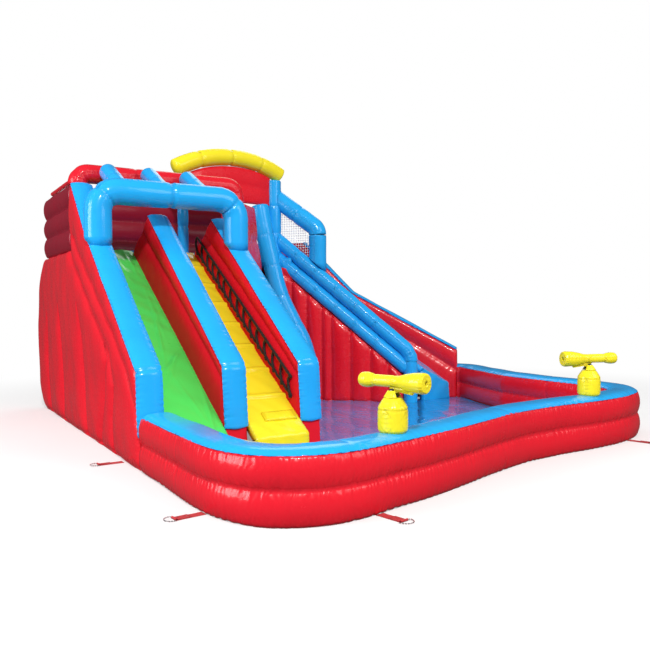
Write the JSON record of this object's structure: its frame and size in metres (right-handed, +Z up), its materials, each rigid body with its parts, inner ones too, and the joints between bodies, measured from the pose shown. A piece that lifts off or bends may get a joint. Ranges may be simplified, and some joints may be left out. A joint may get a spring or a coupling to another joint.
{
  "type": "inflatable water slide",
  "caption": "Inflatable splash pool with a sliding and a climbing lane under an arch, a side slide set at an angle, swivelling water cannons and anchor straps.",
  "frame": {"origin": "middle of the footprint, on the ground", "axes": "+Z up, +Y from the pool's front to the tower's back, +X to the right as seen from the pool's front"},
  "size_m": [7.2054, 8.4503, 4.26],
  "materials": {
    "red_vinyl": "glossy coated PVC fabric, puckered at its seams",
    "blue_vinyl": "glossy coated PVC fabric, puckered at its seams",
    "blue_floor": "glossy coated PVC fabric, wet",
    "green_vinyl": "glossy coated PVC fabric",
    "yellow_vinyl": "glossy coated PVC fabric",
    "black_webbing": "woven webbing",
    "red_webbing": "coated webbing",
    "white_net": "knotted safety net",
    "black_plastic": "moulded, satin",
    "steel": "zinc-plated wire"
  },
  "bodies": {
    "slide_body": {"air_sleeve": "red_vinyl", "cannon_1_pillar": "yellow_vinyl", "cannon_2_pillar": "yellow_vinyl", "climb_bed": "yellow_vinyl", "corner_panel": "red_vinyl", "crown_arch": "yellow_vinyl", "crown_board": "red_vinyl", "crown_post_left": "blue_vinyl", "crown_post_right": "blue_vinyl", "deck": "blue_vinyl", "deck_support": "red_vinyl", "front_arch": "blue_vinyl", "leaning_column": "blue_vinyl", "left_side_wall": "red_vinyl", "left_side_wall_strip": "blue_vinyl", "left_side_wall_upper": "red_vinyl", "loop_ladder": "black_webbing", "lower_rail": "blue_vinyl", "middle_wall": "red_vinyl", "middle_wall_strip": "blue_vinyl", "pool_floor": "blue_floor", "pool_rim": "blue_vinyl", "pool_wall_front": "red_vinyl", "pool_wall_front_right": "red_vinyl", "pool_wall_left": "red_vinyl", "pool_wall_right": "red_vinyl", "rear_wall": "red_vinyl", "rear_wall_upper": "red_vinyl", "right_wall": "red_vinyl", "right_wall_strip": "blue_vinyl", "roof_rib_1": "blue_vinyl", "roof_rib_2": "blue_vinyl", "roof_rib_3": "blue_vinyl", "roof_tube": "red_vinyl", "side_far_strip": "blue_vinyl", "side_far_wall": "red_vinyl", "side_frame": "blue_vinyl", "side_near_wall": "red_vinyl", "side_net": "white_net", "side_net_rail": "red_vinyl", "side_net_window": "white_net", "side_slide_bed": "blue_vinyl", "slide_bed": "green_vinyl", "upper_rail": "blue_vinyl"},
    "cannon_1_turret": {"cannon_1_swivel": "black_plastic"},
    "cannon_1_gun": {"cannon_1_barrel": "yellow_vinyl"},
    "cannon_2_turret": {"cannon_2_swivel": "black_plastic"},
    "cannon_2_gun": {"cannon_2_barrel": "yellow_vinyl"},
    "anchor_1_web": {"anchor_1_strap": "red_webbing"},
    "anchor_1_loop": {"anchor_1_ring": "steel"},
    "anchor_2_web": {"anchor_2_strap": "red_webbing"},
    "anchor_2_loop": {"anchor_2_ring": "steel"},
    "anchor_3_web": {"anchor_3_strap": "red_webbing"},
    "anchor_3_loop": {"anchor_3_ring": "steel"},
    "anchor_4_web": {"anchor_4_strap": "red_webbing"},
    "anchor_4_loop": {"anchor_4_ring": "steel"},
    "flap": {"deflation_flap": "red_vinyl"}
  },
  "joints": [
    {"name": "cannon_1_yaw", "type": "hinge", "parent": "slide_body", "child": "cannon_1_turret", "pos_m": [-1.70114, -3.62578, 0.9003], "axis": [0, 0, 1], "range_deg": [-60, 60]},
    {"name": "cannon_1_pitch", "type": "hinge", "parent": "cannon_1_turret", "child": "cannon_1_gun", "pos_m": [-1.70114, -3.62578, 0.9453], "axis": [0.9488, 0.3159, 0], "range_deg": [-20, 15]},
    {"name": "cannon_2_yaw", "type": "hinge", "parent": "slide_body", "child": "cannon_2_turret", "pos_m": [1.64847, -3.02845, 0.9003], "axis": [0, 0, 1], "range_deg": [-60, 60]},
    {"name": "cannon_2_pitch", "type": "hinge", "parent": "cannon_2_turret", "child": "cannon_2_gun", "pos_m": [1.64847, -3.02845, 0.9453], "axis": [-0.3697, -0.9292, 0], "range_deg": [-20, 15]},
    {"name": "anchor_1_lift", "type": "hinge", "parent": "slide_body", "child": "anchor_1_web", "pos_m": [-3.25453, -0.85845, 0.006], "axis": [0, 1, 0], "range_deg": [0, 60]},
    {"name": "anchor_1_ring_turn", "type": "hinge", "parent": "anchor_1_web", "child": "anchor_1_loop", "pos_m": [-3.51452, -0.85845, 0.01], "axis": [0, 1, 0], "range_deg": [0, 120]},
    {"name": "anchor_2_lift", "type": "hinge", "parent": "slide_body", "child": "anchor_2_web", "pos_m": [-3.21085, -3.07817, 0.006], "axis": [-0.0983, 0.9952, 0], "range_deg": [0, 60]},
    {"name": "anchor_2_ring_turn", "type": "hinge", "parent": "anchor_2_web", "child": "anchor_2_loop", "pos_m": [-3.46959, -3.10372, 0.01], "axis": [-0.0983, 0.9952, 0], "range_deg": [0, 120]},
    {"name": "anchor_3_lift", "type": "hinge", "parent": "slide_body", "child": "anchor_3_web", "pos_m": [-2.02722, -3.87631, 0.006], "axis": [-0.9827, -0.1853, 0], "range_deg": [0, 60]},
    {"name": "anchor_3_ring_turn", "type": "hinge", "parent": "anchor_3_web", "child": "anchor_3_loop", "pos_m": [-1.97904, -4.1318, 0.01], "axis": [-0.9827, -0.1853, 0], "range_deg": [0, 120]},
    {"name": "anchor_4_lift", "type": "hinge", "parent": "slide_body", "child": "anchor_4_web", "pos_m": [2.29019, -3.11035, 0.006], "axis": [-0.9653, -0.2612, 0], "range_deg": [0, 60]},
    {"name": "anchor_4_ring_turn", "type": "hinge", "parent": "anchor_4_web", "child": "anchor_4_loop", "pos_m": [2.3581, -3.36133, 0.01], "axis": [-0.9653, -0.2612, 0], "range_deg": [0, 120]},
    {"name": "flap_open", "type": "hinge", "parent": "slide_body", "child": "flap", "pos_m": [-0.95393, 3.63685, 0.79], "axis": [1, 0, 0], "range_deg": [0, 120]}
  ]
}
